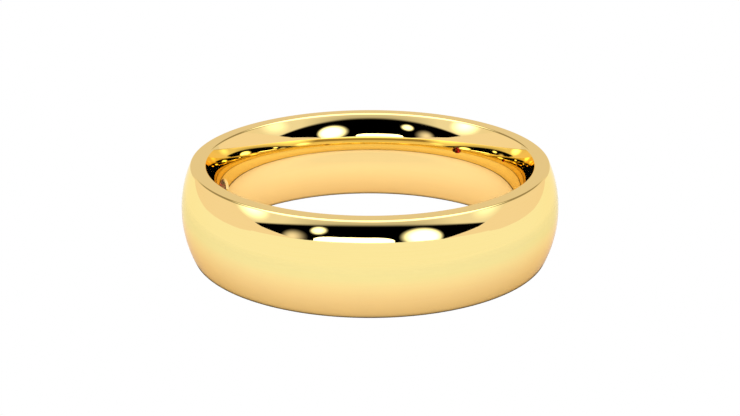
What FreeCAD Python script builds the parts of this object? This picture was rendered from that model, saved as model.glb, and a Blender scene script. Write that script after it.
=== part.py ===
"""Court wedding band with one small round stone set flush inside it.

Millimetres. The ring's axis is Z, its middle is the origin, and it lies flat on either side face.
"""
import FreeCAD, Part
import Sketcher
import math
import os
from FreeCAD import Vector

DIMENSIONS = [
    # name, value, meaning
    ("band_width", 5.0, "across the band, along the finger"),
    ("outer_radius", 10.03, "outside radius at the middle of the band"),
    ("outer_edge_radius", 9.46, "where the domed outside meets the side face"),
    ("finger_edge_radius", 8.70, "where the domed inside meets the side face"),
    ("finger_radius", 8.18, "inside radius at the middle of the band, 16.36 mm across"),
    ("edge_round", 0.12, "polished round on the four circular edges"),
    ("stone_azimuth", 168.5, "where the stone sits round the band, in degrees from +X"),
    ("stone_width", 1.60, "across the girdle"),
    ("table_ratio", 0.72, "table over girdle width: a low crown, so that the stone sits flush"),
    ("crown_angle", 25.0, "slope of the eight crown mains, in degrees"),
    ("pavilion_angle", 40.75, "slope of the eight pavilion mains, in degrees"),
    ("culet_ratio", 0.02, "flat at the bottom point over girdle width"),
    ("star_reach", 0.5, "how far a star facet runs from the table towards the girdle"),
    ("lower_half_reach", 0.77, "how far a lower half facet runs from the girdle to the culet"),
    ("girdle_ratio", 0.04, "girdle thickness over girdle width"),
    ("girdle_depth", 0.15, "from the inside of the band down to the middle of the girdle"),
    ("seat_clearance", 0.015, "gap all round the girdle"),
    ("lip_overlap", 0.03, "how far the burnished lip reaches over the girdle"),
    ("mouth_radius", 0.82, "bright-cut rim at the inside of the band"),
    ("pilot_radius", 0.25, "blind hole drilled under the culet"),
    ("pilot_depth", 1.1, "from the inside of the band to the bottom of that hole"),
]

MAINS = 8
HALVES = 16

# The stone's sizes that follow from the sheet, as expressions.
STONE_RADIUS = "(dims.stone_width / 2)"
HALF_GIRDLE = "(dims.girdle_ratio * dims.stone_width / 2)"
TABLE_HEIGHT = "(%s + %s * (1 - dims.table_ratio) * tan(dims.crown_angle))" % (
    HALF_GIRDLE, STONE_RADIUS)
TABLE_FLAT = "(dims.table_ratio * %s * cos(22.5))" % STONE_RADIUS
STAR_TIP = "(%s + dims.star_reach * (%s - %s))" % (TABLE_FLAT, STONE_RADIUS, TABLE_FLAT)
STAR_TIP_HEIGHT = "(%s + (%s - %s * cos(22.5)) * tan(dims.crown_angle))" % (
    HALF_GIRDLE, STONE_RADIUS, STAR_TIP)
LOWER_TIP = "(%s * (1 - dims.lower_half_reach))" % STONE_RADIUS
LOWER_TIP_DEPTH = "((%s - %s * cos(22.5)) * tan(dims.pavilion_angle))" % (STONE_RADIUS, LOWER_TIP)

STAR_SLOPE = "((%s - %s) / (%s - %s))" % (TABLE_HEIGHT, STAR_TIP_HEIGHT, STAR_TIP, TABLE_FLAT)
UPPER_HALF_SLOPE = "((%s - %s) / ((%s - %s) * cos(11.25)))" % (
    STAR_TIP_HEIGHT, HALF_GIRDLE, STONE_RADIUS, STAR_TIP)
LOWER_HALF_SLOPE = "(%s / ((%s - %s) * cos(11.25)))" % (LOWER_TIP_DEPTH, STONE_RADIUS, LOWER_TIP)

# Each tier of facets: name, above the girdle or not, how many, turn from the first main,
# slope as a tangent, and the height or depth where its plane meets the stone's axis.
FACET_TIERS = [
    ("crown_mains", True, MAINS, 0.0, "tan(dims.crown_angle)",
     "%s + %s * tan(dims.crown_angle)" % (HALF_GIRDLE, STONE_RADIUS)),
    ("upper_halves", True, HALVES, 11.25, UPPER_HALF_SLOPE,
     "%s + %s * cos(11.25) * %s" % (HALF_GIRDLE, STONE_RADIUS, UPPER_HALF_SLOPE)),
    ("stars", True, MAINS, 22.5, STAR_SLOPE,
     "%s + %s * %s" % (TABLE_HEIGHT, TABLE_FLAT, STAR_SLOPE)),
    ("pavilion_mains", False, MAINS, 0.0, "tan(dims.pavilion_angle)",
     "%s + %s * tan(dims.pavilion_angle)" % (HALF_GIRDLE, STONE_RADIUS)),
    ("lower_halves", False, HALVES, 11.25, LOWER_HALF_SLOPE,
     "%s + %s * cos(11.25) * %s" % (HALF_GIRDLE, STONE_RADIUS, LOWER_HALF_SLOPE)),
]


def make_sheet(doc):
    """Writes the driving dimensions, one row each, with the name as the value's alias."""
    sheet = doc.addObject("Spreadsheet::Sheet", "dims")
    for row, (name, value, meaning) in enumerate(DIMENSIONS, start=1):
        sheet.set("A%d" % row, name)
        sheet.set("B%d" % row, str(value))
        sheet.setAlias("B%d" % row, name)
        sheet.set("C%d" % row, meaning)
    doc.recompute()
    return sheet


def origin_feature(body, role):
    return next(f for f in body.Origin.OriginFeatures if f.Role == role)


def new_sketch(body, name, role, turn=None):
    """Adds a sketch on an origin plane; turn is an axis in the sketch and an angle expression."""
    sketch = body.newObject("Sketcher::SketchObject", name)
    sketch.AttachmentSupport = [(origin_feature(body, role), "")]
    sketch.MapMode = "FlatFace"
    if turn:
        axis, angle = turn
        sketch.AttachmentOffset = FreeCAD.Placement(Vector(), FreeCAD.Rotation(axis, 1))
        sketch.setExpression("AttachmentOffset.Rotation.Angle", angle)
    return sketch


def bind(sketch, name, expression, *constraint):
    """Adds a named constraint whose value follows the sheet."""
    value = float(sketch.evalExpression(expression))
    index = sketch.addConstraint(Sketcher.Constraint(*constraint, value))
    sketch.renameConstraint(index, name)
    sketch.setExpression("Constraints." + name, expression)


def draw_outline(sketch, points):
    """Draws a closed polygon, roughly in place, whose first line has index 0."""
    count = len(points)
    for i, start in enumerate(points):
        end = points[(i + 1) % count]
        sketch.addGeometry(Part.LineSegment(Vector(*start, 0), Vector(*end, 0)))
    for i in range(count):
        sketch.addConstraint(Sketcher.Constraint("Coincident", i, 2, (i + 1) % count, 1))


def bind_corner(sketch, line, name, across, up, below=False):
    """Ties a line's start point to the origin; a distance of None puts it on that axis."""
    if across is None:
        sketch.addConstraint(Sketcher.Constraint("PointOnObject", line, 1, -2))
    else:
        bind(sketch, name + "_across", across, "DistanceX", -1, 1, line, 1)
    if up is None:
        sketch.addConstraint(Sketcher.Constraint("PointOnObject", line, 1, -1))
    elif below:
        bind(sketch, name + "_down", up, "DistanceY", line, 1, -1, 1)
    else:
        bind(sketch, name + "_up", up, "DistanceY", -1, 1, line, 1)


def bowed_arc(edge_radius, middle_radius, half_width):
    """An arc from one side face to the other, bowed away from the line between its ends."""
    bow = middle_radius - edge_radius
    arc_radius = (half_width ** 2 + bow ** 2) / (2 * abs(bow))
    facing = 0 if bow > 0 else math.pi
    centre = Vector(middle_radius - arc_radius * math.cos(facing), 0, 0)
    spread = math.asin(half_width / arc_radius)
    circle = Part.Circle(centre, Vector(0, 0, 1), arc_radius)
    return Part.ArcOfCircle(circle, facing - spread, facing + spread)


def band_section(body, sheet):
    """The court section: two bowed arcs, outside and inside, joined by the flat side faces."""
    half = sheet.band_width / 2
    outer_edge = sheet.outer_edge_radius
    finger_edge = sheet.finger_edge_radius
    sketch = new_sketch(body, "section", "XZ_Plane")
    outside = sketch.addGeometry(bowed_arc(outer_edge, sheet.outer_radius, half))
    inside = sketch.addGeometry(bowed_arc(finger_edge, sheet.finger_radius, half))
    top = sketch.addGeometry(
        Part.LineSegment(Vector(outer_edge, half, 0), Vector(finger_edge, half, 0)))
    bottom = sketch.addGeometry(
        Part.LineSegment(Vector(finger_edge, -half, 0), Vector(outer_edge, -half, 0)))

    upper_end = {}
    for arc in (outside, inside):
        upper_end[arc] = 1 if sketch.Geometry[arc].StartPoint.y > 0 else 2
        sketch.addConstraint(Sketcher.Constraint("PointOnObject", arc, 3, -1))
    lower_end = {arc: 3 - end for arc, end in upper_end.items()}
    for line, start, end, ends in ((top, outside, inside, upper_end),
                                   (bottom, inside, outside, lower_end)):
        sketch.addConstraint(Sketcher.Constraint("Coincident", line, 1, start, ends[start]))
        sketch.addConstraint(Sketcher.Constraint("Coincident", line, 2, end, ends[end]))
        sketch.addConstraint(Sketcher.Constraint("Horizontal", line))

    bind(sketch, "half_width", "dims.band_width / 2", "DistanceY", -1, 1, top, 1)
    for name, arc in (("outer", outside), ("finger", inside)):
        edge = name + "_edge_radius"
        bow = "abs(dims.%s_radius - dims.%s)" % (name, edge)
        bow_radius = "((dims.band_width / 2) ^ 2 + %s ^ 2) / (2 * %s)" % (bow, bow)
        bind(sketch, edge, "dims." + edge, "DistanceX", -1, 1, arc, upper_end[arc])
        bind(sketch, name + "_bow", bow_radius, "Radius", arc)
    bind(sketch, "width", "dims.band_width", "DistanceY", bottom, 1, top, 2)
    return sketch


def revolve(body, kind, sketch, name, axis):
    """A full turn of the sketch about one of its own axes: a Revolution or a Groove."""
    feature = body.newObject("PartDesign::" + kind, name)
    feature.Profile = sketch
    feature.ReferenceAxis = (sketch, [axis])
    feature.Angle = 360
    body.Tip = feature
    return feature


def round_side_edges(doc, body, ring, half_width):
    """Rounds the four circular edges where the side faces meet the domes."""
    flat = 1e-6
    edges = [
        "Edge%d" % number
        for number, edge in enumerate(ring.Shape.Edges, start=1)
        if edge.BoundBox.ZLength < flat and abs(abs(edge.BoundBox.ZMax) - half_width) < flat
    ]
    assert len(edges) == 4, "expected four side edges, found %d" % len(edges)
    rounds = body.newObject("PartDesign::Fillet", "edge_rounds")
    rounds.Base = (ring, edges)
    rounds.setExpression("Radius", "dims.edge_round")
    body.Tip = rounds
    doc.recompute()


def stone_seat_section(body, sheet):
    """The flush seat as the setter leaves it, drawn with X outwards through the wall.

    From the finger side: bright-cut cone, burnished lip, girdle groove, 45 degree bearing and
    the pilot hole.
    """
    groove = "(%s + dims.seat_clearance)" % STONE_RADIUS
    lip = "(%s - dims.lip_overlap)" % STONE_RADIUS
    girdle_place = "(dims.finger_radius + dims.girdle_depth)"
    lip_rise = "((dims.lip_overlap + dims.seat_clearance) * tan(dims.crown_angle))"
    lip_depth = "(dims.girdle_depth - %s - %s)" % (HALF_GIRDLE, lip_rise)
    bright_cut_slope = "((dims.mouth_radius - %s) / %s)" % (lip, lip_depth)
    relief = 0.5
    corners = [
        ("open_centre", "dims.finger_radius - %s" % relief, None),
        ("open_edge", "dims.finger_radius - %s" % relief,
         "dims.mouth_radius + %s * %s" % (relief, bright_cut_slope)),
        ("lip", "dims.finger_radius + %s" % lip_depth, lip),
        ("groove_top", "%s - %s" % (girdle_place, HALF_GIRDLE), groove),
        ("groove_bottom", "%s + %s" % (girdle_place, HALF_GIRDLE), groove),
        ("bearing_bottom",
         "%s + %s + %s - dims.pilot_radius" % (girdle_place, HALF_GIRDLE, groove),
         "dims.pilot_radius"),
        ("pilot_edge", "dims.finger_radius + dims.pilot_depth", "dims.pilot_radius"),
        ("pilot_centre", "dims.finger_radius + dims.pilot_depth", None),
    ]
    girdle = sheet.stone_width / 2
    rough_depths = (-relief, -relief, 0.10, 0.12, 0.18, 0.74, sheet.pilot_depth, sheet.pilot_depth)
    rough_radii = (0, 2 * girdle, 0.95 * girdle, girdle, girdle,
                   sheet.pilot_radius, sheet.pilot_radius, 0)
    sketch = new_sketch(body, "seat_section", "XY_Plane", (Vector(0, 0, 1), "dims.stone_azimuth"))
    draw_outline(sketch, [
        (sheet.finger_radius + depth, radius) for depth, radius in zip(rough_depths, rough_radii)
    ])
    for line, (name, across, up) in enumerate(corners):
        bind_corner(sketch, line, name, across, up)
    return sketch


def make_band(doc, sheet):
    """The band: a ring of court section with rounded edges and the stone's seat."""
    body = doc.addObject("PartDesign::Body", "band")
    section = band_section(body, sheet)
    doc.recompute()
    ring = revolve(body, "Revolution", section, "ring", "V_Axis")
    doc.recompute()
    round_side_edges(doc, body, ring, sheet.band_width / 2)
    before_seat = body.Shape.Volume
    seat_section = stone_seat_section(body, sheet)
    doc.recompute()
    revolve(body, "Groove", seat_section, "stone_seat", "H_Axis")
    doc.recompute()
    cut = before_seat - body.Shape.Volume
    print("stone seat cuts %.3f mm3" % cut)
    assert 0.3 < cut < 1.5, "the stone seat is not cut"
    return body


def stone_blank_section(body, sheet):
    """The rough that the facets are cut from: the table on top and room for every facet."""
    radius = sheet.stone_width / 2
    pavilion_depth = "%s * tan(dims.pavilion_angle) * (1 - dims.culet_ratio)" % STONE_RADIUS
    depth = "%s + %s" % (HALF_GIRDLE, pavilion_depth)
    sketch = new_sketch(body, "blank_section", "XZ_Plane")
    draw_outline(sketch, [(0, -radius), (radius, -radius), (radius, radius / 3), (0, radius / 3)])
    bind_corner(sketch, 0, "culet_side", None, depth, below=True)
    bind_corner(sketch, 1, "wide_bottom", STONE_RADIUS, depth, below=True)
    bind_corner(sketch, 2, "wide_top", STONE_RADIUS, TABLE_HEIGHT)
    bind_corner(sketch, 3, "table_centre", None, TABLE_HEIGHT)
    return sketch


def cut_facets(doc, body, sheet, tier):
    """Cuts one flat facet with a prism of waste, then repeats it round the stone."""
    name, above, count, turn, slope, height = tier
    side = 1 if above else -1
    radius = sheet.stone_width / 2
    reach = 2 * radius
    sketch = new_sketch(body, name + "_waste", "XZ_Plane", (Vector(0, 1, 0), "%s" % turn))
    draw_outline(sketch, [(0, side * radius), (reach, side * radius), (reach, -side * radius)])
    bind_corner(sketch, 0, "on_axis", None, height, below=not above)
    bind_corner(sketch, 1, "outside", "dims.stone_width", height, below=not above)
    bind(sketch, "foot_across", "dims.stone_width", "DistanceX", -1, 1, 2, 1)
    drop = "dims.stone_width * %s" % slope
    ends = (2, 1, 1, 1) if above else (1, 1, 2, 1)
    bind(sketch, "drop", drop, "DistanceY", *ends)
    doc.recompute()

    before = body.Shape.Volume
    waste = body.newObject("PartDesign::Pocket", name + "_first")
    waste.Profile = sketch
    waste.Midplane = True
    waste.setExpression("Length", "4 * dims.stone_width")
    body.Tip = waste
    doc.recompute()
    assert body.Shape.Volume < before, name + " cuts nothing"

    facets = body.newObject("PartDesign::PolarPattern", name)
    facets.Originals = [waste]
    facets.Axis = (origin_feature(body, "Z_Axis"), [""])
    facets.Angle = 360
    facets.Occurrences = count
    body.Tip = facets
    doc.recompute()


def make_stone(doc, sheet):
    """The round stone, built with its girdle at its origin and then set in the band."""
    body = doc.addObject("PartDesign::Body", "hidden_stone")
    section = stone_blank_section(body, sheet)
    doc.recompute()
    revolve(body, "Revolution", section, "blank", "V_Axis")
    doc.recompute()
    for tier in FACET_TIERS:
        cut_facets(doc, body, sheet, tier)
    azimuth = math.radians(sheet.stone_azimuth)
    outward = Vector(math.cos(azimuth), math.sin(azimuth), 0)
    seat_place = outward * (sheet.finger_radius + sheet.girdle_depth)
    table_up = FreeCAD.Rotation(Vector(0, 0, 1), outward * -1)
    body.Placement = FreeCAD.Placement(seat_place, table_up)
    doc.recompute()
    return body


def check_document(doc, bodies):
    """Stops before anything is written if an object failed or a shape is not sound."""
    for thing in doc.Objects:
        broken = [state for state in thing.State if state in ("Invalid", "Error")]
        assert not broken, "%s is %s" % (thing.Label, broken)
    for body in bodies:
        shape = body.Shape
        assert not shape.isNull() and shape.isValid(), body.Label + " is not a valid shape"
        assert len(shape.Solids) == 1, body.Label + " is not one solid"
        print("%s: %d faces, %.3f mm3" % (body.Label, len(shape.Faces), shape.Volume))
    band, stone = bodies
    overlap = band.Shape.common(stone.Shape).Volume
    gap = band.Shape.distToShape(stone.Shape)[0]
    print("band and stone: overlap %.6f mm3, gap %.4f mm" % (overlap, gap))
    assert overlap < 1e-6, "the stone cuts into the band"


def main():
    doc = FreeCAD.newDocument("wedding_band")
    sheet = make_sheet(doc)
    bodies = [make_band(doc, sheet), make_stone(doc, sheet)]
    check_document(doc, bodies)
    os.makedirs("parts", exist_ok=True)
    for body in bodies:
        body.Shape.exportStep("parts/%s.step" % body.Label)


main()
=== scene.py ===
import bpy
import math
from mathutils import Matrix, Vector


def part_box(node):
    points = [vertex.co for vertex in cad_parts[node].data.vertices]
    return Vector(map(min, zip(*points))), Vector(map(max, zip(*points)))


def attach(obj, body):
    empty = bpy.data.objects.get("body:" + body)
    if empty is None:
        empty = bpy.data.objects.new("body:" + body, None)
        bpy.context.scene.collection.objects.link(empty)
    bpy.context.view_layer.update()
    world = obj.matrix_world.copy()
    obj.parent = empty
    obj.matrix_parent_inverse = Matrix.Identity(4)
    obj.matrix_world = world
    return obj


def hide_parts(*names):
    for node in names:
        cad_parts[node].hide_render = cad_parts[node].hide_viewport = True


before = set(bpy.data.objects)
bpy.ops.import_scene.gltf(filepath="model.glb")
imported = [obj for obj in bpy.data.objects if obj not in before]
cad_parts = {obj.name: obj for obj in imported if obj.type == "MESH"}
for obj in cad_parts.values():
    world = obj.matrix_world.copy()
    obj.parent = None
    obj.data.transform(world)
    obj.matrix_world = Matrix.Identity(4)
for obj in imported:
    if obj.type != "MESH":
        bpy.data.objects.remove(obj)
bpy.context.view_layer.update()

MM = 0.001

# The band, as designed: a court section turned about Z, its middle at the origin.
BAND_LOW, BAND_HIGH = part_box("band")
HALF_WIDTH = (BAND_HIGH[2] - BAND_LOW[2]) / 2
OUTER_RADIUS = 10.03 * MM
OUTER_EDGE_RADIUS = 9.46 * MM
FINGER_EDGE_RADIUS = 8.70 * MM
FINGER_RADIUS = 8.18 * MM
EDGE_ROUND = 0.12 * MM

# The stone and its seat, as designed; depths are from the inside of the band outwards.
STONE_AZIMUTH = math.radians(168.5)
STONE_RADIUS = 0.80 * MM
CROWN_ANGLE = math.radians(25.0)
GIRDLE_DEPTH = 0.15 * MM
HALF_GIRDLE = 0.032 * MM
SEAT_CLEARANCE = 0.015 * MM
LIP_OVERLAP = 0.03 * MM
MOUTH_RADIUS = 0.82 * MM
PILOT_RADIUS = 0.25 * MM
PILOT_DEPTH = 1.1 * MM
LIP_RADIUS = STONE_RADIUS - LIP_OVERLAP
GROOVE_RADIUS = STONE_RADIUS + SEAT_CLEARANCE
LIP_DEPTH = (GIRDLE_DEPTH - HALF_GIRDLE
             - (LIP_OVERLAP + SEAT_CLEARANCE) * math.tan(CROWN_ANGLE))
SEAT_STEPS = [
    (LIP_DEPTH, LIP_RADIUS),
    (GIRDLE_DEPTH - HALF_GIRDLE, GROOVE_RADIUS),
    (GIRDLE_DEPTH + HALF_GIRDLE, GROOVE_RADIUS),
    (GIRDLE_DEPTH + HALF_GIRDLE + GROOVE_RADIUS - PILOT_RADIUS, PILOT_RADIUS),
    (PILOT_DEPTH, PILOT_RADIUS),
]

# How far the mesh cuts back each side of the mouth's edge, to break it.
MOUTH_BREAK = 0.015 * MM

# Mesh steps. The seat's window is whole cells of the lathe, so that their edges meet.
TURN_STEPS = 576
OUTER_STEPS = 48
FINGER_STEPS = 48
ROUND_STEPS = 6
FLAT_STEPS = 4
WINDOW_CELLS = 15
WINDOW_LOOPS = 8
BEVEL_LOOPS = 5
MOUTH_PASSES = 20

# The camera. Its distance and aim are sized by the band, its lens and sensor in millimetres.
CAMERA_ELEVATION = math.radians(19.65)
CAMERA_DISTANCE = 7.696 * OUTER_RADIUS
CAMERA_LENS = 70.0
CAMERA_SENSOR = 36.0
CAMERA_NEAR = 1 * MM
CAMERA_AIM_HEIGHT = -0.0271 * OUTER_RADIUS

# The gold. Its polishing lines are noise, so many per metre along and across them; each
# pair called RANGE is a stretch of noise that a roughness or colour range is spread over.
GOLD = (0.98, 0.80, 0.33)
GOLD_IN_LINES = (0.97, 0.785, 0.31)
GOLD_AT_GRAZING = (1.0, 0.91, 0.68)
GOLD_HAZE_SCALE = 900.0
GOLD_HAZE_DETAIL = 4.0
GOLD_HAZE_AND_LINES_RANGE = (0.75, 1.25)
GOLD_ROUGHNESS = (0.010, 0.034)
POLISH_ALONG = 120.0
POLISH_ACROSS = 14000.0
POLISH_DETAIL = 6.0
POLISH_FINENESS = 0.7
POLISH_RANGE = (0.45, 0.75)
POLISH_DEPTH = 0.00004 * MM

# The stone.
STONE_RED = (0.48, 0.010, 0.018)
STONE_INDEX = 1.40
STONE_HAZE_SCALE = 6000.0
STONE_HAZE_DETAIL = 3.0
STONE_HAZE_RANGE = (0.35, 0.7)
STONE_ROUGHNESS = (0.0, 0.03)

WHITE = (1.0, 1.0, 1.0)

# The table: base colours by distance from the axis, in outside radii of the band. Near the
# ring they hold painted light, warm and brighter where the gold's light falls, and a painted
# shadow where the ring touches it. Further out it stops being lit and shines evenly instead.
TABLE_WHITE = (0.62, 0.66, 0.67)
# Painted warm light, where the gold's light falls on the table round the outside of the ring.
TABLE_PAINTED_GOLD_LIGHT = (0.71, 0.63, 0.65)
# A painted shadow under the ring, where it touches the table.
TABLE_SHADE = (0.03, 0.02, 0.015)
# Painted light inside the ring, brightest next to the inside of the band.
TABLE_INSIDE_PAINTED_LIGHT = (0.90, 0.79, 0.79)
# Painted warm light in the middle of the ring.
TABLE_MIDDLE_PAINTED_LIGHT = (0.66, 0.62, 0.64)
TABLE_GLOW_START = 1.6
TABLE_GLOW_FULL = 2.2
TABLE_RINGS = [
    (0.0, TABLE_MIDDLE_PAINTED_LIGHT),
    (0.30, TABLE_MIDDLE_PAINTED_LIGHT),
    (0.855, TABLE_INSIDE_PAINTED_LIGHT),
    # The painted shadow under the band's foot.
    (0.865, TABLE_SHADE),
    (0.948, TABLE_SHADE),
    (0.955, TABLE_PAINTED_GOLD_LIGHT),
    (1.05, TABLE_PAINTED_GOLD_LIGHT),
    (1.40, TABLE_WHITE),
    (TABLE_GLOW_START, TABLE_WHITE),
    (TABLE_GLOW_FULL, (0.0, 0.0, 0.0)),
]
TABLE_SIDES = 96
BACKDROP_DROP = 0.02 * MM

# The tent, a dome of cloth; its radius is in metres. BACK_PROFILE gives its colours by
# height, from the table (0) to the top (1), and FRONT_PROFILE by depth, from the back (0)
# to the front (1). The first gives way to the second from BACK_ENDS to FRONT_STARTS, in
# tent radii behind the middle. The front also grows FRONT_OVERHEAD times brighter between
# the two elevations.
TENT_RADIUS = 1.5
TENT_COLUMNS = 64
TENT_RINGS = 24
TENT_STRENGTH = 2.65
DIM_BELT = (0.13, 0.105, 0.08)
BACK_PROFILE = [
    (0.375, (0.336, 0.296, 0.280)),
    (0.46, DIM_BELT),
    (0.66, DIM_BELT),
    (0.80, WHITE),
    (0.955, WHITE),
    (0.975, (0.40, 0.40, 0.40)),
]
FRONT_PROFILE = [
    (0.78, (0.336, 0.316, 0.328)),
    (0.93, (0.20, 0.188, 0.190)),
]
FRONT_OVERHEAD = 2.4
FRONT_OVERHEAD_START = math.radians(25)
FRONT_OVERHEAD_FULL = math.radians(52)
BACK_ENDS = 0.1
FRONT_STARTS = -0.3

# The open-fronted box inside the tent, in outside radii from the middle of the ring. The
# top of each side wall is level as far back as WALL_BEND and rises from there.
TABLE_LEVEL = BAND_LOW[2] / OUTER_RADIUS
BOARD_DISTANCE = 3.04
BOARD_TOP = 0.495
SIDE_DISTANCE = 8.0
WALL_FRONT = -24.0
WALL_BEND = -4.0
WALL_TOP = 1.45
WALL_RISE = 0.165
WALL_COLOUR = (0.94, 0.81, 0.80)
COVE_INSET = 0.998
COVE_OUTLINE = [
    (-BOARD_DISTANCE, TABLE_LEVEL),
    (2.6, TABLE_LEVEL),
    (0.0, -0.05),
    (-1.9, 0.16),
    (-BOARD_DISTANCE, 0.42),
]
BACK_DISTANCE = 9.0
BACK_TOP = 4.3
BACK_COLOUR = (0.80, 0.72, 0.74)
CARD_LEFT = -1.62
CARD_RIGHT = 0.64
CARD_TOP = 0.71
CARD_CORNER = (0.55, 0.15)
CARD_STRENGTH = 3.2
CORNER_STEPS = 12

# The dark opening in front. Its top fades out between DARK_FULL and DARK_TOP, and lies
# DARK_SAG times the square of the way to the side higher than in the middle.
DARK_DISTANCE = 44.0
DARK_REACH = 140.0
DARK_FULL = 20.2
DARK_TOP = 23.2
DARK_SAG = 0.00019

# Soft oval lights: name, centre, the way it faces, half width and half height, colour,
# strength, and the share of it that is at full strength; lengths are in outside radii.
LIGHT_SIDES = 48
LIGHT_DISTANCE = 10.0
BACKWARD = (0, 1, 0)
RIGHTWARD = (1, 0, 0)
LEFTWARD = (-1, 0, 0)
SOFT_LIGHTS = [
    ("large_light", (6.0, -LIGHT_DISTANCE, 2.42), BACKWARD, (3.2, 1.95),
     WHITE, 3.2, 0.45),
    ("small_light", (-5.7, -LIGHT_DISTANCE, 3.62), BACKWARD, (1.37, 0.94),
     (1, 1, 0.97), 2.6, 0.3),
    ("dim_light", (-9.8, -LIGHT_DISTANCE, 2.05), BACKWARD, (3.0, 1.8),
     (1, 0.9, 0.95), 1.0, 0.05),
    ("left_glow", (-19.5, -4.6, 7.6), RIGHTWARD, (6.0, 4.0),
     WHITE, 3.0, 0.0),
    ("right_glow", (19.5, -4.6, 7.6), LEFTWARD, (6.0, 4.0),
     WHITE, 1.5, 0.0),
]


class Skin:
    """A mesh under construction, with a normal for every corner of every face."""

    def __init__(self):
        self.points = []
        self.faces = []
        self.normals = []
        self.surface = []

    def add_loop(self, points):
        """Adds those points and gives back their numbers."""
        first = len(self.points)
        self.points.extend(points)
        return list(range(first, first + len(points)))

    def add_face(self, corners, normals, surface):
        """Adds a face, with a normal and a place in the surface map for each corner."""
        self.faces.append(corners)
        self.normals.extend(normals)
        self.surface.extend(surface)

    def bridge(self, near, far, near_normals, far_normals):
        """Joins two closed loops of equal length with four-sided faces."""
        count = len(near)
        for i in range(count):
            after = (i + 1) % count
            corners = (near[i], far[i], far[after], near[after])
            normals = (near_normals[i], far_normals[i], far_normals[after], near_normals[after])
            self.add_face(corners, normals, [(0.0, 0.0)] * 4)

    def build(self, name):
        """Makes the object."""
        mesh = bpy.data.meshes.new(name)
        mesh.from_pydata(self.points, [], self.faces)
        mesh.polygons.foreach_set("use_smooth", [True] * len(mesh.polygons))
        mesh.normals_split_custom_set(self.normals)
        layer = mesh.uv_layers.new(name="surface")
        layer.data.foreach_set("uv", [value for pair in self.surface for value in pair])
        piece = bpy.data.objects.new(name, mesh)
        bpy.context.collection.objects.link(piece)
        return piece


def arc_rows(centre, radius, start, end, steps):
    """Points and normals (r, z) on an arc, both ends included."""
    rows = []
    for i in range(steps + 1):
        angle = start + (end - start) * i / steps
        normal = (math.cos(angle), math.sin(angle))
        rows.append(((centre[0] + radius * normal[0], centre[1] + radius * normal[1]), normal))
    return rows


def bowed_side(edge_radius, middle_radius):
    """Centre and radius of the arc that bows from the side faces to the middle of the band."""
    bow = middle_radius - edge_radius
    radius = (HALF_WIDTH ** 2 + bow ** 2) / (2 * abs(bow))
    return middle_radius - math.copysign(radius, bow), radius


OUTER_CENTRE, OUTER_BOW = bowed_side(OUTER_EDGE_RADIUS, OUTER_RADIUS)
FINGER_CENTRE, FINGER_BOW = bowed_side(FINGER_EDGE_RADIUS, FINGER_RADIUS)


def round_centre(side_centre, side_radius, sign):
    """Where the edge round's centre lies, and the angle at which it meets the bowed side."""
    height = HALF_WIDTH - EDGE_ROUND
    across = math.sqrt((side_radius - EDGE_ROUND) ** 2 - height ** 2)
    return side_centre + sign * across, math.atan2(height, across)


def section_rows():
    """The whole section, once round, and the row at which its inside arc starts."""
    outer_round, outer_angle = round_centre(OUTER_CENTRE, OUTER_BOW, 1)
    finger_round, finger_angle = round_centre(FINGER_CENTRE, FINGER_BOW, -1)
    height = HALF_WIDTH - EDGE_ROUND
    half_turn = math.pi
    quarter_turn = math.pi / 2

    def flat(start, end, z, normal):
        return [
            ((start + (end - start) * i / FLAT_STEPS, z), normal) for i in range(FLAT_STEPS + 1)
        ]

    inside = arc_rows((FINGER_CENTRE, 0), FINGER_BOW,
                      half_turn - finger_angle, half_turn + finger_angle, FINGER_STEPS)
    stretches = [
        arc_rows((OUTER_CENTRE, 0), OUTER_BOW, -outer_angle, outer_angle, OUTER_STEPS),
        arc_rows((outer_round, height), EDGE_ROUND, outer_angle, quarter_turn, ROUND_STEPS),
        flat(outer_round, finger_round, HALF_WIDTH, (0, 1)),
        arc_rows((finger_round, height), EDGE_ROUND,
                 quarter_turn, half_turn - finger_angle, ROUND_STEPS),
        inside,
        arc_rows((finger_round, -height), EDGE_ROUND,
                 half_turn + finger_angle, 3 * quarter_turn, ROUND_STEPS),
        flat(finger_round, outer_round, -HALF_WIDTH, (0, -1)),
        arc_rows((outer_round, -height), EDGE_ROUND,
                 3 * quarter_turn, 4 * quarter_turn - outer_angle, ROUND_STEPS),
    ]
    rows = []
    finger_start = 0
    for stretch in stretches:
        if stretch is inside:
            finger_start = len(rows)
        rows.extend(stretch[:-1])
    return rows, finger_start


def turned(pair, angle):
    """A section point or normal (r, z), turned about the ring's axis."""
    return Vector((pair[0] * math.cos(angle), pair[0] * math.sin(angle), pair[1]))


def finger_surface(angle, z):
    """The point and normal of the inside of the band at an azimuth and height."""
    radius = FINGER_CENTRE - math.sqrt(FINGER_BOW ** 2 - z ** 2)
    normal = ((radius - FINGER_CENTRE) / FINGER_BOW, z / FINGER_BOW)
    return turned((radius, z), angle), turned(normal, angle)


SEAT_OUT = turned((1, 0), STONE_AZIMUTH)
SEAT_SIDE = turned((1, 0), STONE_AZIMUTH + math.pi / 2)
SEAT_UP = Vector((0, 0, 1))


def seat_point(depth, radius, angle):
    """The point so far out from the inside of the band, on a circle round the stone's axis."""
    side = SEAT_SIDE * (radius * math.cos(angle)) + SEAT_UP * (radius * math.sin(angle))
    return SEAT_OUT * (FINGER_RADIUS + depth) + side


def seat_normal(first, second, angle):
    """The normal, into the hole, of the cone between two seat steps."""
    depth = second[0] - first[0]
    widening = first[1] - second[1]
    length = math.hypot(depth, widening)
    spoke = SEAT_SIDE * math.cos(angle) + SEAT_UP * math.sin(angle)
    return SEAT_OUT * (-widening / length) - spoke * (depth / length)


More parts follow.
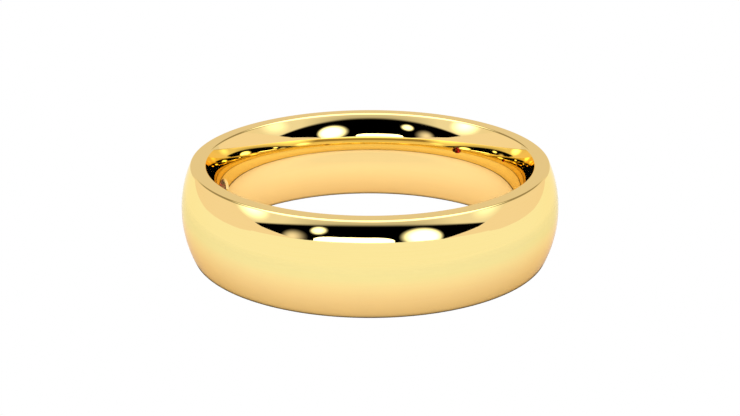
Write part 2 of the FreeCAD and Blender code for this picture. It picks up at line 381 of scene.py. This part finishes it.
def mouth_step(angle):
    """Where the bright-cut cone meets the bowed inside of the band, as depth and radius."""
    slope = (MOUTH_RADIUS - LIP_RADIUS) / LIP_DEPTH
    radius = MOUTH_RADIUS
    depth = 0.0
    for _ in range(MOUTH_PASSES):
        z = radius * math.sin(angle)
        wall = FINGER_CENTRE - math.sqrt(FINGER_BOW ** 2 - z ** 2)
        out = math.sqrt(wall ** 2 - (radius * math.cos(angle)) ** 2)
        depth = out - FINGER_RADIUS
        radius = LIP_RADIUS + (LIP_DEPTH - depth) * slope
    return depth, radius


def window_border(finger_start):
    """Grid steps round the edge of the seat's window, as (turn step, section row)."""
    reach = WINDOW_CELLS
    middle = finger_start + FINGER_STEPS // 2
    right = [(reach, row) for row in range(-reach, reach)]
    top = [(turn, reach) for turn in range(reach, -reach, -1)]
    left = [(-reach, row) for row in range(reach, -reach, -1)]
    bottom = [(turn, -reach) for turn in range(-reach, reach)]
    return [(turn % TURN_STEPS, middle - row) for turn, row in right + top + left + bottom]


def place_round_stone(point):
    """The azimuth of a point counted from the stone's, and its height."""
    azimuth = math.atan2(point.y, point.x)
    return (azimuth - STONE_AZIMUTH + math.pi) % (2 * math.pi) - math.pi, point.z


def add_window(skin, border, places, rims):
    """The band's own surface, from the window's edge in to the mouth of the seat."""
    last = border
    last_normals = [finger_surface(STONE_AZIMUTH + turn, z)[1] for turn, z in places]
    for step in range(1, WINDOW_LOOPS + 1):
        share = step / WINDOW_LOOPS
        points = []
        normals = []
        for (turn, z), (rim_turn, rim_z) in zip(places, rims):
            point, normal = finger_surface(
                STONE_AZIMUTH + turn + (rim_turn - turn) * share, z + (rim_z - z) * share)
            points.append(point)
            normals.append(normal)
        loop = skin.add_loop(points)
        skin.bridge(last, loop, last_normals, normals)
        last, last_normals = loop, normals
    return last, last_normals


def add_bright_cut(skin, last, last_normals, mouth, angles):
    """The cone from the mouth down to the lip that holds the stone."""
    lip_depth, lip_radius = SEAT_STEPS[0]
    cone_normals = [seat_normal(edge, SEAT_STEPS[0], angle) for edge, angle in zip(mouth, angles)]
    for step in range(BEVEL_LOOPS + 1):
        share = step / BEVEL_LOOPS
        points = []
        for (depth, radius), angle in zip(mouth, angles):
            start = MOUTH_BREAK / (radius - lip_radius)
            along = start + (1 - start) * share
            points.append(seat_point(
                depth + (lip_depth - depth) * along, radius + (lip_radius - radius) * along, angle))
        loop = skin.add_loop(points)
        skin.bridge(last, loop, last_normals, cone_normals)
        last, last_normals = loop, cone_normals
    return last


def add_seat(skin, border):
    """Fills the window: the band's own surface, the bright-cut cone, the seat and its floor."""
    places = [place_round_stone(skin.points[index]) for index in border]
    angles = [math.atan2(z, turn * FINGER_RADIUS) for turn, z in places]
    mouth = [mouth_step(angle) for angle in angles]
    rims = [
        place_round_stone(seat_point(depth, radius + MOUTH_BREAK, angle))
        for (depth, radius), angle in zip(mouth, angles)
    ]
    last, last_normals = add_window(skin, border, places, rims)
    last = add_bright_cut(skin, last, last_normals, mouth, angles)
    for first, second in zip(SEAT_STEPS, SEAT_STEPS[1:]):
        normals = [seat_normal(first, second, angle) for angle in angles]
        loop = skin.add_loop([seat_point(second[0], second[1], angle) for angle in angles])
        skin.bridge(last, loop, normals, normals)
        last = loop
    inward = SEAT_OUT * -1
    skin.add_face(last[::-1], [inward] * len(last), [(0.0, 0.0)] * len(last))


def make_band():
    """The ring as a fine lathe mesh, with the stone's seat cut in its inside."""
    rows, finger_start = section_rows()
    skin = Skin()
    turn_angles = [STONE_AZIMUTH + 2 * math.pi * i / TURN_STEPS for i in range(TURN_STEPS)]
    middle = finger_start + FINGER_STEPS // 2
    count = len(rows)
    used = {}

    def vertex(turn, row):
        key = (turn % TURN_STEPS, row % count)
        if key not in used:
            used[key] = skin.add_loop([turned(rows[key[1]][0], turn_angles[key[0]])])[0]
        return used[key]

    along = [0.0]
    for (here, _), (there, _) in zip(rows, rows[1:] + rows[:1]):
        along.append(along[-1] + math.hypot(there[0] - here[0], there[1] - here[1]))
    turn_length = 2 * math.pi * OUTER_RADIUS / TURN_STEPS

    for turn in range(TURN_STEPS):
        from_stone = turn if turn < TURN_STEPS // 2 else turn - TURN_STEPS
        beside = -WINDOW_CELLS <= from_stone < WINDOW_CELLS
        for row in range(count):
            if beside and -WINDOW_CELLS <= row - middle < WINDOW_CELLS:
                continue
            steps = ((turn, row), (turn + 1, row), (turn + 1, row + 1), (turn, row + 1))
            corners = [vertex(*step) for step in steps]
            normals = [
                turned(rows[r % count][1], turn_angles[t % TURN_STEPS]) for t, r in steps
            ]
            surface = [(t * turn_length, along[r]) for t, r in steps]
            skin.add_face(corners, normals, surface)

    border = [used[step] for step in window_border(finger_start)]
    add_seat(skin, border)
    return skin.build("polished_band")


def new_material(name):
    """A material, its tree and its one shader, ready for settings."""
    material = bpy.data.materials.new(name)
    material.use_nodes = True
    tree = material.node_tree
    return material, tree, tree.nodes["Principled BSDF"]


def link_range(tree, source, target, source_range, target_range):
    """Links source to target, its range stretched on to the target's."""
    node = tree.nodes.new("ShaderNodeMapRange")
    node.inputs["From Min"].default_value = source_range[0]
    node.inputs["From Max"].default_value = source_range[1]
    node.inputs["To Min"].default_value = target_range[0]
    node.inputs["To Max"].default_value = target_range[1]
    tree.links.new(source, node.inputs["Value"])
    tree.links.new(node.outputs["Result"], target)


def object_place(tree):
    """The place on the piece, in its own frame."""
    return tree.nodes.new("ShaderNodeTexCoord").outputs["Object"]


def noise(tree, place, scale, detail):
    """Noise read at that place."""
    node = tree.nodes.new("ShaderNodeTexNoise")
    node.inputs["Scale"].default_value = scale
    node.inputs["Detail"].default_value = detail
    tree.links.new(place, node.inputs["Vector"])
    return node


def polishing_lines(tree):
    """Noise drawn out along the band, so that it reads as fine lines."""
    surface = tree.nodes.new("ShaderNodeUVMap")
    surface.uv_map = "surface"
    stretch = tree.nodes.new("ShaderNodeVectorMath")
    stretch.operation = "MULTIPLY"
    stretch.inputs[1].default_value = (POLISH_ALONG, POLISH_ACROSS, 1.0)
    tree.links.new(surface.outputs["UV"], stretch.inputs[0])
    lines = noise(tree, stretch.outputs["Vector"], 1.0, POLISH_DETAIL)
    lines.inputs["Roughness"].default_value = POLISH_FINENESS
    return lines.outputs["Fac"]


def gold_material():
    """Mirror-polished yellow gold with fine polishing lines round the band."""
    material, tree, shader = new_material("yellow_gold")
    shader.inputs["Metallic"].default_value = 1.0
    shader.inputs["Specular Tint"].default_value = (*GOLD_AT_GRAZING, 1.0)
    haze = noise(tree, object_place(tree), GOLD_HAZE_SCALE, GOLD_HAZE_DETAIL).outputs["Fac"]
    lines = polishing_lines(tree)

    both = tree.nodes.new("ShaderNodeMath")
    both.operation = "ADD"
    tree.links.new(haze, both.inputs[0])
    tree.links.new(lines, both.inputs[1])
    link_range(tree, both.outputs["Value"], shader.inputs["Roughness"],
               GOLD_HAZE_AND_LINES_RANGE, GOLD_ROUGHNESS)

    worn = tree.nodes.new("ShaderNodeMix")
    worn.data_type = "RGBA"
    worn.inputs["A"].default_value = (*GOLD, 1.0)
    worn.inputs["B"].default_value = (*GOLD_IN_LINES, 1.0)
    link_range(tree, lines, worn.inputs["Factor"], POLISH_RANGE, (0.0, 1.0))
    tree.links.new(worn.outputs["Result"], shader.inputs["Base Color"])

    bump = tree.nodes.new("ShaderNodeBump")
    bump.inputs["Strength"].default_value = 1.0
    bump.inputs["Distance"].default_value = POLISH_DEPTH
    tree.links.new(lines, bump.inputs["Height"])
    tree.links.new(bump.outputs["Normal"], shader.inputs["Normal"])
    return material


def stone_material():
    """Clear deep red stone, its facets with the faintest polishing haze."""
    material, tree, shader = new_material("red_stone")
    shader.inputs["Base Color"].default_value = (*STONE_RED, 1.0)
    shader.inputs["Transmission Weight"].default_value = 1.0
    shader.inputs["IOR"].default_value = STONE_INDEX
    haze = noise(tree, object_place(tree), STONE_HAZE_SCALE, STONE_HAZE_DETAIL).outputs["Fac"]
    link_range(tree, haze, shader.inputs["Roughness"], STONE_HAZE_RANGE, STONE_ROUGHNESS)
    return material


def glow_material(name, colour, strength):
    """A surface that only shines, the same all over."""
    material = bpy.data.materials.new(name)
    material.use_nodes = True
    tree = material.node_tree
    tree.nodes.clear()
    output = tree.nodes.new("ShaderNodeOutputMaterial")
    glow = tree.nodes.new("ShaderNodeEmission")
    glow.inputs["Color"].default_value = (*colour, 1.0)
    glow.inputs["Strength"].default_value = strength
    tree.links.new(glow.outputs["Emission"], output.inputs["Surface"])
    return material


def stage_mesh(name, points, faces, material):
    """Part of the studio, which the ring mirrors and the camera doesn't see."""
    mesh = bpy.data.meshes.new(name)
    mesh.from_pydata(points, [], faces)
    mesh.materials.append(material)
    piece = bpy.data.objects.new(name, mesh)
    bpy.context.collection.objects.link(piece)
    piece.visible_camera = False
    return piece


def scaled(points):
    """Points given in outside radii of the band, in metres."""
    return [tuple(value * OUTER_RADIUS for value in point) for point in points]


def card(name, points, colour, strength):
    """A flat shining card with those corners, in outside radii of the band."""
    return stage_mesh(name, scaled(points), [tuple(range(len(points)))],
                      glow_material(name, colour, strength))


def circle_points(radius, count, height):
    """Points round the ring's axis at that height."""
    turns = [2 * math.pi * i / count for i in range(count)]
    return [(radius * math.cos(turn), radius * math.sin(turn), height) for turn in turns]


def set_ramp(ramp, stops):
    """Puts those stops, each a position and a colour, on a colour ramp."""
    while len(ramp.elements) < len(stops):
        ramp.elements.new(1.0)
    for element, (position, colour) in zip(ramp.elements, stops):
        element.position = position
        element.color = (*colour, 1.0)


def table_material():
    """Matt white, warmer where the gold's light falls and shaded where the ring touches it."""
    material, tree, shader = new_material("floor")
    shader.inputs["Roughness"].default_value = 1.0
    shader.inputs["Specular IOR Level"].default_value = 0.0
    shader.inputs["Emission Color"].default_value = (*WHITE, 1.0)
    flat = tree.nodes.new("ShaderNodeVectorMath")
    flat.operation = "MULTIPLY"
    flat.inputs[1].default_value = (1.0, 1.0, 0.0)
    length = tree.nodes.new("ShaderNodeVectorMath")
    length.operation = "LENGTH"
    rings = tree.nodes.new("ShaderNodeValToRGB")
    # These rings paint the gold's warm light and the ring's shadow on to the table.
    set_ramp(rings.color_ramp,
             [(radius / TABLE_GLOW_FULL, colour) for radius, colour in TABLE_RINGS])
    tree.links.new(object_place(tree), flat.inputs[0])
    tree.links.new(flat.outputs["Vector"], length.inputs[0])
    tree.links.new(rings.outputs["Color"], shader.inputs["Base Color"])
    glow_start = TABLE_GLOW_START * OUTER_RADIUS
    glow_full = TABLE_GLOW_FULL * OUTER_RADIUS
    link_range(tree, length.outputs["Value"], rings.inputs["Fac"],
               (0.0, glow_full), (0.0, 1.0))
    link_range(tree, length.outputs["Value"], shader.inputs["Emission Strength"],
               (glow_start, glow_full), (0.0, 1.0))
    return material


def make_floor():
    """A matt table for light and reflections, and the plain white that the camera sees."""
    face = [tuple(range(TABLE_SIDES))]
    level = BAND_LOW[2]
    stage_mesh("floor", circle_points(TENT_RADIUS, TABLE_SIDES, level), face, table_material())
    backdrop = stage_mesh(
        "white_backdrop", circle_points(TENT_RADIUS, TABLE_SIDES, level - BACKDROP_DROP),
        face, glow_material("white_backdrop", WHITE, 1.0))
    backdrop.visible_camera = True
    backdrop.visible_diffuse = False
    backdrop.visible_glossy = False
    backdrop.visible_transmission = False
    backdrop.visible_shadow = False


def tent_material():
    """Light cloth: bright overhead with a dim top, and a dim belt behind and beside."""
    material = glow_material("tent", WHITE, TENT_STRENGTH)
    tree = material.node_tree
    split = tree.nodes.new("ShaderNodeSeparateXYZ")
    tree.links.new(object_place(tree), split.inputs["Vector"])

    def link_share(axis, start, end, target, target_range=(0.0, 1.0)):
        link_range(tree, split.outputs[axis], target,
                   (start * TENT_RADIUS, end * TENT_RADIUS), target_range)

    back = tree.nodes.new("ShaderNodeValToRGB")
    set_ramp(back.color_ramp, BACK_PROFILE)
    link_share("Z", 0.0, 1.0, back.inputs["Fac"])
    front = tree.nodes.new("ShaderNodeValToRGB")
    set_ramp(front.color_ramp, FRONT_PROFILE)
    link_share("Y", 1.0, -1.0, front.inputs["Fac"])

    brighter = tree.nodes.new("ShaderNodeVectorMath")
    brighter.operation = "SCALE"
    tree.links.new(front.outputs["Color"], brighter.inputs[0])
    link_share("Z", math.sin(FRONT_OVERHEAD_START), math.sin(FRONT_OVERHEAD_FULL),
               brighter.inputs["Scale"], (1.0, FRONT_OVERHEAD))

    mix = tree.nodes.new("ShaderNodeMix")
    mix.data_type = "RGBA"
    link_share("Y", BACK_ENDS, FRONT_STARTS, mix.inputs["Factor"])
    tree.links.new(back.outputs["Color"], mix.inputs["A"])
    tree.links.new(brighter.outputs["Vector"], mix.inputs["B"])
    tree.links.new(mix.outputs["Result"], tree.nodes["Emission"].inputs["Color"])
    return material


def make_tent():
    """A dome of light cloth all round."""
    points = []
    for ring in range(TENT_RINGS):
        elevation = math.pi / 2 * ring / TENT_RINGS
        points.extend(circle_points(
            TENT_RADIUS * math.cos(elevation), TENT_COLUMNS,
            TENT_RADIUS * math.sin(elevation) + BAND_LOW[2]))
    faces = []
    for ring in range(TENT_RINGS - 1):
        low = ring * TENT_COLUMNS
        high = low + TENT_COLUMNS
        for column in range(TENT_COLUMNS):
            after = (column + 1) % TENT_COLUMNS
            faces.append((low + column, low + after, high + after, high + column))
    top = (TENT_RINGS - 1) * TENT_COLUMNS
    faces.append(tuple(range(top, top + TENT_COLUMNS)))
    stage_mesh("tent", points, faces, tent_material())


def fade_out(material, distance, start, end):
    """Lets a glow turn clear as that distance goes from start to end."""
    tree = material.node_tree
    mix = tree.nodes.new("ShaderNodeMixShader")
    clear = tree.nodes.new("ShaderNodeBsdfTransparent")
    fade = tree.nodes.new("ShaderNodeMapRange")
    fade.interpolation_type = "SMOOTHSTEP"
    fade.inputs["From Min"].default_value = start
    fade.inputs["From Max"].default_value = end
    fade.inputs["To Min"].default_value = 1.0
    fade.inputs["To Max"].default_value = 0.0
    tree.links.new(distance, fade.inputs["Value"])
    tree.links.new(fade.outputs["Result"], mix.inputs["Fac"])
    tree.links.new(clear.outputs["BSDF"], mix.inputs[1])
    tree.links.new(tree.nodes["Emission"].outputs["Emission"], mix.inputs[2])
    tree.links.new(mix.outputs["Shader"], tree.nodes["Material Output"].inputs["Surface"])


def fade_sagging_top(material):
    """Lets the dark opening turn clear at its top edge, which sags a little in the middle."""
    tree = material.node_tree
    split = tree.nodes.new("ShaderNodeSeparateXYZ")
    square = tree.nodes.new("ShaderNodeMath")
    square.operation = "MULTIPLY"
    level = tree.nodes.new("ShaderNodeMath")
    level.operation = "MULTIPLY_ADD"
    level.inputs[1].default_value = -DARK_SAG / OUTER_RADIUS
    tree.links.new(object_place(tree), split.inputs["Vector"])
    tree.links.new(split.outputs["X"], square.inputs[0])
    tree.links.new(split.outputs["X"], square.inputs[1])
    tree.links.new(square.outputs["Value"], level.inputs[0])
    tree.links.new(split.outputs["Z"], level.inputs[2])
    fade_out(material, level.outputs["Value"],
             DARK_FULL * OUTER_RADIUS, DARK_TOP * OUTER_RADIUS)


def soft_light(name, centre, facing, halves, colour, strength, core):
    """An upright oval light with a soft edge."""
    material = glow_material(name, colour, strength)
    piece = stage_mesh(name, circle_points(1.0, LIGHT_SIDES, 0.0), [tuple(range(LIGHT_SIDES))],
                       material)
    piece.location = Vector(centre) * OUTER_RADIUS
    piece.rotation_euler = Vector(facing).to_track_quat("Z", "Y").to_euler()
    piece.scale = (halves[0] * OUTER_RADIUS, halves[1] * OUTER_RADIUS, 1)
    tree = material.node_tree
    length = tree.nodes.new("ShaderNodeVectorMath")
    length.operation = "LENGTH"
    tree.links.new(object_place(tree), length.inputs[0])
    fade_out(material, length.outputs["Value"], core, 1.0)


def facing_card(reach, y, top):
    """Corners of an upright oblong card across the view, standing on the table."""
    return [(-reach, y, TABLE_LEVEL), (reach, y, TABLE_LEVEL), (reach, y, top), (-reach, y, top)]


def rounded_card():
    """Corners of the white card on the board; its top corners are quarter ellipses."""
    wide, tall = CARD_CORNER
    y = -BOARD_DISTANCE
    points = [(CARD_LEFT, y, BOARD_TOP), (CARD_RIGHT, y, BOARD_TOP)]
    for centre, start in ((CARD_RIGHT - wide, 0.0), (CARD_LEFT + wide, math.pi / 2)):
        for i in range(CORNER_STEPS + 1):
            angle = start + math.pi / 2 * i / CORNER_STEPS
            points.append((centre + wide * math.cos(angle), y,
                           CARD_TOP - tall + tall * math.sin(angle)))
    return points


def make_side_wall(name, x):
    """A warm wall whose top rises towards the back, with a pale cove along its foot."""
    back_top = WALL_TOP + WALL_RISE * (BACK_DISTANCE - WALL_BEND)
    card(name + "_wall", [
        (x, WALL_FRONT, TABLE_LEVEL), (x, BACK_DISTANCE, TABLE_LEVEL), (x, BACK_DISTANCE, back_top),
        (x, WALL_BEND, WALL_TOP), (x, WALL_FRONT, WALL_TOP)], WALL_COLOUR, 1.0)
    inside = x * COVE_INSET
    card(name + "_cove", [(inside, y, z) for y, z in COVE_OUTLINE], WHITE, 1.0)


def make_surroundings():
    """The box round the ring, which its polished surfaces mirror."""
    card("front_board", facing_card(SIDE_DISTANCE, -BOARD_DISTANCE, BOARD_TOP), WHITE, 1.0)
    card("white_card", rounded_card(), WHITE, CARD_STRENGTH)
    dark_high = DARK_TOP + DARK_SAG * DARK_REACH ** 2
    dark = card("dark_opening", facing_card(DARK_REACH, -DARK_DISTANCE, dark_high), WHITE, 0.0)
    fade_sagging_top(dark.data.materials[0])
    make_side_wall("left", -SIDE_DISTANCE)
    make_side_wall("right", SIDE_DISTANCE)
    card("back_wall", facing_card(SIDE_DISTANCE, BACK_DISTANCE, BACK_TOP), BACK_COLOUR, 1.0)
    for light in SOFT_LIGHTS:
        soft_light(*light)


def make_camera():
    """The camera, in front of the ring and looking down at it."""
    camera = bpy.data.cameras.new("camera")
    camera.lens = CAMERA_LENS
    camera.sensor_width = CAMERA_SENSOR
    camera.clip_start = CAMERA_NEAR
    holder = bpy.data.objects.new("camera", camera)
    bpy.context.collection.objects.link(holder)
    holder.location = (
        0,
        -CAMERA_DISTANCE * math.cos(CAMERA_ELEVATION),
        CAMERA_DISTANCE * math.sin(CAMERA_ELEVATION),
    )
    aim = Vector((0, 0, CAMERA_AIM_HEIGHT)) - holder.location
    holder.rotation_euler = aim.to_track_quat("-Z", "Y").to_euler()
    bpy.context.scene.camera = holder


def make_world():
    """Plain white all round."""
    world = bpy.data.worlds.new("world")
    world.use_nodes = True
    background = world.node_tree.nodes["Background"]
    background.inputs["Color"].default_value = (*WHITE, 1.0)
    background.inputs["Strength"].default_value = 1.0
    bpy.context.scene.world = world


band = make_band()
band.data.materials.append(gold_material())
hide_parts("band")
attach(band, "root")

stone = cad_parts["hidden_stone"]
stone.data.materials.clear()
stone.data.materials.append(stone_material())

make_camera()
make_world()
make_floor()
make_tent()
make_surroundings()

scene = bpy.context.scene
scene.view_settings.view_transform = "Standard"
scene.view_settings.look = "None"
